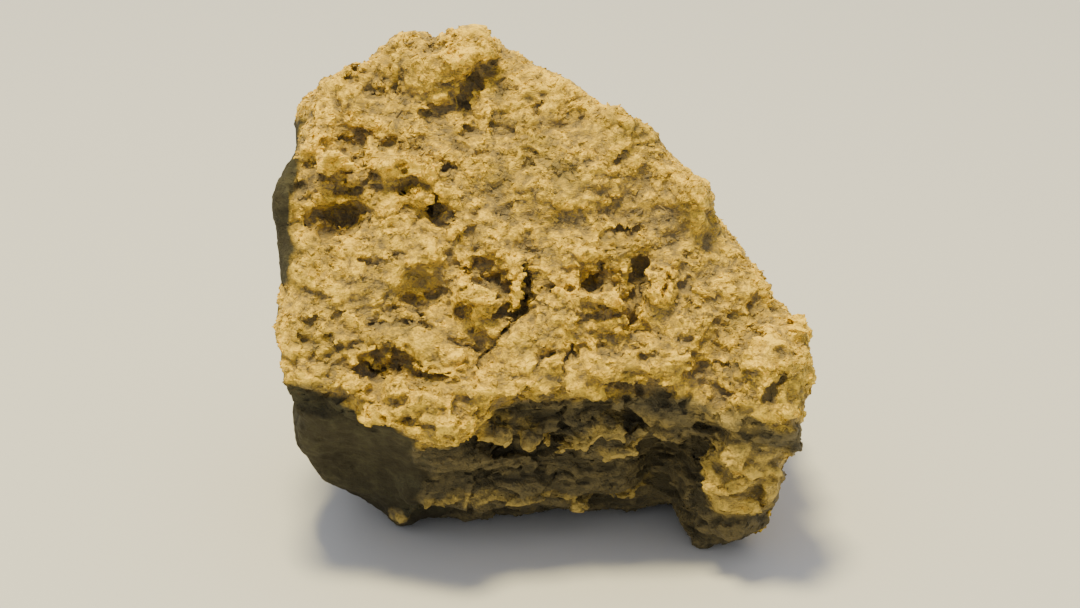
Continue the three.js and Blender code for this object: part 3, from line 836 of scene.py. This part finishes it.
def field_mesh(field, low, transform):
    """The surface of a field, as points in millimetres and quads."""
    grid = openvdb.FloatGrid(GRID_REACH)
    grid.transform = transform
    grid.copyFromArray(field, ijk=tuple(int(v) for v in low))
    points, quads = grid.convertToQuads(isovalue=0.0)
    return largest_shell(points, quads)


def make_piece(name, points, faces):
    mesh = bpy.data.meshes.new(name)
    mesh.from_pydata((points * MM).tolist(), [], faces.tolist())
    mesh.validate()
    piece = bpy.data.objects.new(name, mesh)
    bpy.context.scene.collection.objects.link(piece)
    return piece


def thin_out(piece, budget):
    """Decimates a piece to a number of triangles, if it has more."""
    bpy.context.view_layer.objects.active = piece
    modifier = piece.modifiers.new("thin out", "DECIMATE")
    modifier.ratio = min(1, budget / sum(len(p.vertices) - 2 for p in piece.data.polygons))
    bpy.ops.object.modifier_apply(modifier=modifier.name)


def inside_box(piece):
    """Keeps a piece's points inside the CAD model's box, and its base flat on z = 0."""
    points = piece_points(piece)
    points[:, 2][points[:, 2] < BASE_SNAP] = 0
    low, high = (np.array(corner) / MM for corner in cad_box)
    points = np.clip(points, low, high)
    piece.data.vertices.foreach_set("co", (points * MM).ravel())
    piece.data.update()


def add_attribute(piece, name, values):
    attribute = piece.data.attributes.new(name, "FLOAT", "POINT")
    attribute.data.foreach_set("value", values.astype(np.float32))


def add_shading(piece, points, fields, low, repeats=1):
    """Gives a piece what its colour depends on, worked out at points of the stone's surface: where the crust
    is, and where shade and light are painted.
    """
    shares = {"crust": crust_share, "shaded_front": shaded_front_share, "recess_shade": recess_share, "pale_and_lit": pale_and_lit_share}
    for name, share in shares.items():
        add_attribute(piece, name, np.repeat(share(points), repeats))
    for name, field in fields.items():
        add_attribute(piece, name, np.repeat(sample(field, low, points), repeats))


def build_stone():
    """The stone, with the fields that its colour depends on and their lowest grid index."""
    field, smooth, low, transform = stone_field()
    stone = make_piece("stone", *field_mesh(field, low, transform))
    inside_box(stone)
    thin_out(stone, TRIANGLE_BUDGET)
    inside_box(stone)
    fields = {"depth": smooth, **{name: blur(field, size) for name, size in HOLLOW_BLURS.items()}}
    add_shading(stone, piece_points(stone), fields, low)
    stone.data.polygons.foreach_set("use_smooth", [True] * len(stone.data.polygons))
    stone.data.set_sharp_from_angle(angle=SHARP_EDGE)
    return stone, fields, low


# ---- Grains: the thin flakes set into the broken rock ----

GRAINS = [(8000, 0.3), (7000, 0.42)]  # how many in each piece, and their half length before it varies
GRAIN_SEED = 40
GRAIN_LEAN = 0.28
GRAIN_SINK = 0.35  # of a flake's half thickness
GRAIN_PROPORTIONS = (1.1, 0.6, 0.3)
GRAIN_CORNERS = np.array(list(itertools.product((-1, 1), repeat=3)), np.float32)
GRAIN_FACES = np.array([
    (0, 1, 3), (0, 3, 2), (4, 7, 5), (4, 6, 7), (0, 5, 1), (0, 4, 5),
    (2, 3, 7), (2, 7, 6), (0, 2, 6), (0, 6, 4), (1, 5, 7), (1, 7, 3),
])


def grain_density(points, depth):
    """How thick the flakes lie: in patches, on the broken faces, and not in the depths."""
    bare = (1 - crust_share(points)) * (1 - 0.75 * shaded_front_share(points)) * (points[:, 2] > 1)
    patchy = ease(gradient_noise(points, 5.0, 30) + 0.6 * gradient_noise(points, 1.8, 31), -0.4, 0.5)
    return bare * (0.35 + patchy) * ease(depth, -2.4, -1.2)


def surface_spots(piece, depth, count, chance):
    """Random places on a piece's surface, with the surface's direction there."""
    corners = piece_triangles(piece)
    a, b, c = piece_points(piece)[corners.T]
    cross = np.cross(b - a, c - a)
    area = np.linalg.norm(cross, axis=1)
    weight = area * grain_density((a + b + c) / 3, depth[corners].mean(1))
    picks = chance.choice(len(area), count, p=weight / weight.sum())
    u, v = chance.random((2, count, 1), dtype=np.float32)
    over = u + v > 1
    u, v = np.where(over, 1 - u, u), np.where(over, 1 - v, v)
    spots = a[picks] + (b - a)[picks] * u + (c - a)[picks] * v
    return spots, cross[picks] / area[picks, None]


def build_grains(stone, fields, low_cell, number):
    """Many small flakes that lie nearly flat on the broken faces, most with their length near level."""
    chance = np.random.default_rng(GRAIN_SEED + number)
    count, size = GRAINS[number]
    depth = np.empty(len(stone.data.vertices), np.float32)
    stone.data.attributes["depth"].data.foreach_get("value", depth)
    spots, out = surface_spots(stone, depth, count, chance)
    top = unit(out + GRAIN_LEAN * chance.normal(size=(count, 3)))
    across = unit(np.cross(top, (0, 0, 1) + 0.5 * chance.normal(size=(count, 3))))
    axes = np.stack([across, np.cross(top, across), top], 1)
    halves = size * np.exp(0.35 * chance.normal(size=(count, 3))) * GRAIN_PROPORTIONS
    corners = GRAIN_CORNERS * (1 + 0.3 * chance.uniform(-1, 1, (count, 8, 3))) * halves[:, None, :]
    spots = spots - GRAIN_SINK * out * halves[:, 2:]
    points = spots[:, None, :] + np.einsum("nki,nij->nkj", corners, axes)
    low, high = (np.array(corner) / MM for corner in cad_box)
    fits = ((points > low) & (points < high)).all((1, 2))
    faces = (GRAIN_FACES + 8 * np.arange(fits.sum())[:, None, None]).reshape(-1, 3)
    piece = make_piece(f"grains_{number + 1}", points[fits].reshape(-1, 3), faces)
    add_attribute(piece, "tint", np.repeat(chance.random(fits.sum()) - 0.5, 8))
    add_shading(piece, spots[fits].astype(np.float32), fields, low_cell, 8)
    return piece


# ---- Materials ----

# Along the tan ramp the brightest colour is a painted glint on ridges and light flakes, and the darkest is
# painted shade; between them the rock's own tone varies.
TAN_GLINT = (1.0, 0.67, 0.07)
TAN_BRIGHT = (0.84, 0.555, 0.06)
TAN = (0.52, 0.34, 0.045)
BROWN = (0.27, 0.192, 0.07)
# painted shade for the deepest hollows
CREVICE_SHADE = (0.16, 0.125, 0.07)
OLIVE = (0.24, 0.18, 0.045)
# A paler tone with painted light, for the lower front's ribs, foot tip and lumps
PALE_AND_LIT_LIGHT = (0.74, 0.52, 0.115)
PALE_AND_LIT_DARK = (0.25, 0.185, 0.06)
# The lower front's colours: painted shade, for faces that look down under the slope's lip.
FRONT_SHADE_LIGHT = (0.145, 0.117, 0.055)
FRONT_SHADE_DARK = (0.062, 0.055, 0.034)
CRUST_BROWN = (0.036, 0.034, 0.023)
CRUST_BLACK = (0.018, 0.017, 0.013)
CRUST_OLIVE = (0.058, 0.056, 0.034)
RUST = (0.10, 0.05, 0.02)
BROKEN_ROUGHNESS = 0.55
CRUST_ROUGHNESS = 0.85
SPECULAR = 0.3
SPECULAR_TINT = (1.0, 0.75, 0.35, 1)
FLOOR_COLOR = (0.62, 0.62, 0.61, 1)
FLOOR_ROUGHNESS = 0.6


class Nodes:
    """Short calls for building a material's node tree."""

    def __init__(self, name):
        self.material = bpy.data.materials.new(name)
        self.material.use_nodes = True
        self.tree = self.material.node_tree
        self.shader = self.tree.nodes["Principled BSDF"]

    def feed(self, socket, value):
        """Links a socket to another node's output, or sets it to a plain value."""
        if isinstance(value, bpy.types.NodeSocket):
            self.tree.links.new(value, socket)
        else:
            socket.default_value = value

    def new(self, kind, inputs=(), **settings):
        node = self.tree.nodes.new(kind)
        for key, value in settings.items():
            setattr(node, key, value)
        for key, value in dict(inputs).items():
            self.feed(node.inputs[key], value)
        return node

    def attribute(self, name):
        return self.new("ShaderNodeAttribute", attribute_name=name).outputs["Fac"]

    def places(self, size, flat=1):
        """Inputs for a texture of a size in millimetres, and so many times as wide as it is high."""
        place = self.new("ShaderNodeTexCoord").outputs["Object"]
        mapping = self.new("ShaderNodeMapping", {"Vector": place, "Scale": (1, 1, flat)})
        return {"Vector": mapping.outputs["Vector"], "Scale": 1 / (size * MM)}

    def noise(self, size, detail=3, roughness=0.6, distortion=0, flat=1):
        inputs = {"Detail": detail, "Roughness": roughness, "Distortion": distortion}
        return self.new("ShaderNodeTexNoise", {**self.places(size, flat), **inputs}).outputs["Fac"]

    def cells(self, size):
        """Cells of a size in millimetres, each with a random value from 0 to 1."""
        color = self.new("ShaderNodeTexVoronoi", self.places(size)).outputs["Color"]
        return self.new("ShaderNodeSeparateColor", {"Color": color}).outputs["Red"]

    def ramp(self, value, stops):
        node = self.new("ShaderNodeValToRGB", {"Fac": value})
        elements = node.color_ramp.elements
        while len(elements) < len(stops):
            elements.new(0.5)
        for element, (position, color) in zip(elements, stops):
            element.position = position
            element.color = (*color, 1)
        return node.outputs["Color"]

    def range(self, value, low, high, to_low=0.0, to_high=1.0):
        inputs = {"Value": value, "From Min": low, "From Max": high, "To Min": to_low, "To Max": to_high}
        return self.new("ShaderNodeMapRange", inputs).outputs["Result"]

    def math(self, operation, a, b=0.0):
        return self.new("ShaderNodeMath", {0: a, 1: b}, operation=operation).outputs["Value"]

    def total(self, *values):
        """The sum of some values."""
        whole = values[0]
        for value in values[1:]:
            whole = self.math("ADD", whole, value)
        return whole

    def mix(self, share, a, b):
        """Color b over color a, by a share from 0 to 1; the mix node's color sockets go by number."""
        return self.new("ShaderNodeMix", {0: share, 6: a, 7: b}, data_type="RGBA").outputs[2]


def broken_shade(nodes, folds, fine):
    """How dark the broken rock is: painted shade in hollows, clefts and creases, painted light on ridges, and
    random tone.
    """
    # painted shade: darker where the surface lies deep, in hollows and in the named hollows and clefts
    hollows = nodes.total(
        nodes.range(nodes.attribute("depth"), 0.8, -2.2, 0, 0.25),
        nodes.range(nodes.attribute("hollow"), 0.35, -0.45, 0, 0.35),
        nodes.range(nodes.attribute("wide_hollow"), 0.7, -0.9, 0, 0.15),
        nodes.math("MULTIPLY", nodes.attribute("recess_shade"), 0.25),
    )
    return nodes.total(
        nodes.range(hollows, 0, 1, 0.06, 0.82),
        # painted light on small ridges, painted shade in small pits
        nodes.range(nodes.attribute("fine_hollow"), 0.15, -0.15, -0.06, 0.1),
        nodes.range(nodes.cells(0.9), 0, 1, -0.08, 0.08),
        nodes.range(fine, 0.3, 0.7, -0.14, 0.14),
        nodes.math("MULTIPLY", nodes.attribute("tint"), 0.4),
        nodes.range(nodes.noise(3.0), 0.3, 0.7, -0.17, 0.33),
        # painted shade along the bump's creases
        nodes.range(folds, 0, 0.16, -0.1, 0.26),
    )


def broken_color(nodes, shade):
    """Golden tan on the slope, painted shade on the lower front, and a paler tone with painted light on its
    ribs and lumps.
    """
    tan = [(0.0, TAN_GLINT), (0.12, TAN_BRIGHT), (0.34, TAN), (0.66, BROWN), (1.0, CREVICE_SHADE)]
    patches = nodes.noise(14.0, detail=4)
    golden = nodes.mix(nodes.range(patches, 0.52, 0.7, 0, 0.45), nodes.ramp(shade, tan), (*OLIVE, 1))
    shaded = nodes.ramp(shade, [(0.0, FRONT_SHADE_LIGHT), (0.55, FRONT_SHADE_DARK)])
    pale_and_lit = nodes.ramp(shade, [(0.1, PALE_AND_LIT_LIGHT), (0.6, PALE_AND_LIT_DARK)])
    shaded = nodes.mix(nodes.math("MULTIPLY", nodes.attribute("pale_and_lit"), 0.85), shaded, pale_and_lit)
    return nodes.mix(nodes.attribute("shaded_front"), golden, shaded)


def crust_color(nodes):
    """Near black, mottled with olive brown and a little rust."""
    stops = [(0.34, CRUST_BLACK), (0.5, CRUST_BROWN), (0.62, CRUST_OLIVE), (0.78, RUST)]
    return nodes.ramp(nodes.noise(5.0, detail=8, roughness=0.72), stops)


def stone_material():
    """One material for the stone and its flakes: broken rock with painted shade and light, and crust where
    the piece says so.
    """
    nodes = Nodes("broken_stone")
    crust = nodes.attribute("crust")
    fine = nodes.noise(0.5, detail=2)
    folds = nodes.noise(1.9, detail=5, roughness=0.62, distortion=1.4, flat=2.0)
    folds = nodes.math("ABSOLUTE", nodes.math("SUBTRACT", folds, 0.5))
    broken = broken_color(nodes, broken_shade(nodes, folds, fine))
    grit = nodes.math("SUBTRACT", nodes.math("MULTIPLY", fine, 0.5), nodes.math("MULTIPLY", folds, 1.6))
    strength = nodes.range(crust, 0, 1, 1.0, 0.8)
    bump = nodes.new("ShaderNodeBump", {"Height": grit, "Distance": 0.45 * MM, "Strength": strength})
    inputs = nodes.shader.inputs
    nodes.feed(inputs["Base Color"], nodes.mix(crust, broken, crust_color(nodes)))
    nodes.feed(inputs["Roughness"], nodes.range(crust, 0, 1, BROKEN_ROUGHNESS, CRUST_ROUGHNESS))
    nodes.feed(inputs["Normal"], bump.outputs["Normal"])
    inputs["Specular IOR Level"].default_value = SPECULAR
    inputs["Specular Tint"].default_value = SPECULAR_TINT
    return nodes.material


# ---- The floor, the light and the camera ----

AIM = Vector((-0.0003, -0.00095, 0.0396))  # what the lamp and the camera face, in metres
FLOOR_SIZE = 12
LAMP_TOWARD = Vector((-0.12, -0.05, 0.99))
LAMP_DISTANCE = 1.0
LAMP_SIZE = 0.2
LAMP_POWER = 20
LAMP_COLOR = (1.0, 0.85, 0.42)
SKY_COLOR = (0.96, 0.98, 1.04, 1)
SKY_STRENGTH = 0.8
CAMERA_ELEVATION = math.radians(25)
CAMERA_DISTANCE = 0.5
CAMERA_LENS = 90


def floor():
    bpy.ops.mesh.primitive_plane_add(size=FLOOR_SIZE)
    plane = bpy.context.object
    plane.name = "floor"
    nodes = Nodes("floor")
    nodes.shader.inputs["Base Color"].default_value = FLOOR_COLOR
    nodes.shader.inputs["Roughness"].default_value = FLOOR_ROUGHNESS
    plane.data.materials.append(nodes.material)


def facing_stone(name, data, toward, distance):
    """A lamp or camera at a distance from the stone along a direction, turned to face it."""
    item = bpy.data.objects.new(name, data)
    item.location = AIM + toward * distance
    item.rotation_euler = toward.to_track_quat("Z", "Y").to_euler()
    bpy.context.scene.collection.objects.link(item)
    return item


def key_light():
    light = bpy.data.lights.new("key", "AREA")
    light.size = LAMP_SIZE
    light.energy = LAMP_POWER
    light.color = LAMP_COLOR
    facing_stone("key", light, LAMP_TOWARD.normalized(), LAMP_DISTANCE)


def sky():
    world = bpy.data.worlds.new("studio")
    world.use_nodes = True
    background = world.node_tree.nodes["Background"]
    background.inputs["Color"].default_value = SKY_COLOR
    background.inputs["Strength"].default_value = SKY_STRENGTH
    bpy.context.scene.world = world


def camera():
    data = bpy.data.cameras.new("camera")
    data.lens = CAMERA_LENS
    back = Vector((0, -math.cos(CAMERA_ELEVATION), math.sin(CAMERA_ELEVATION)))
    bpy.context.scene.camera = facing_stone("camera", data, back, CAMERA_DISTANCE)


# ---- The scene ----

stone, fields, low_cell = build_stone()
material = stone_material()
for piece in [stone] + [build_grains(stone, fields, low_cell, number) for number in range(len(GRAINS))]:
    piece.data.materials.append(material)
    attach(piece, "root")
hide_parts("meteorite")
floor()
key_light()
sky()
camera()
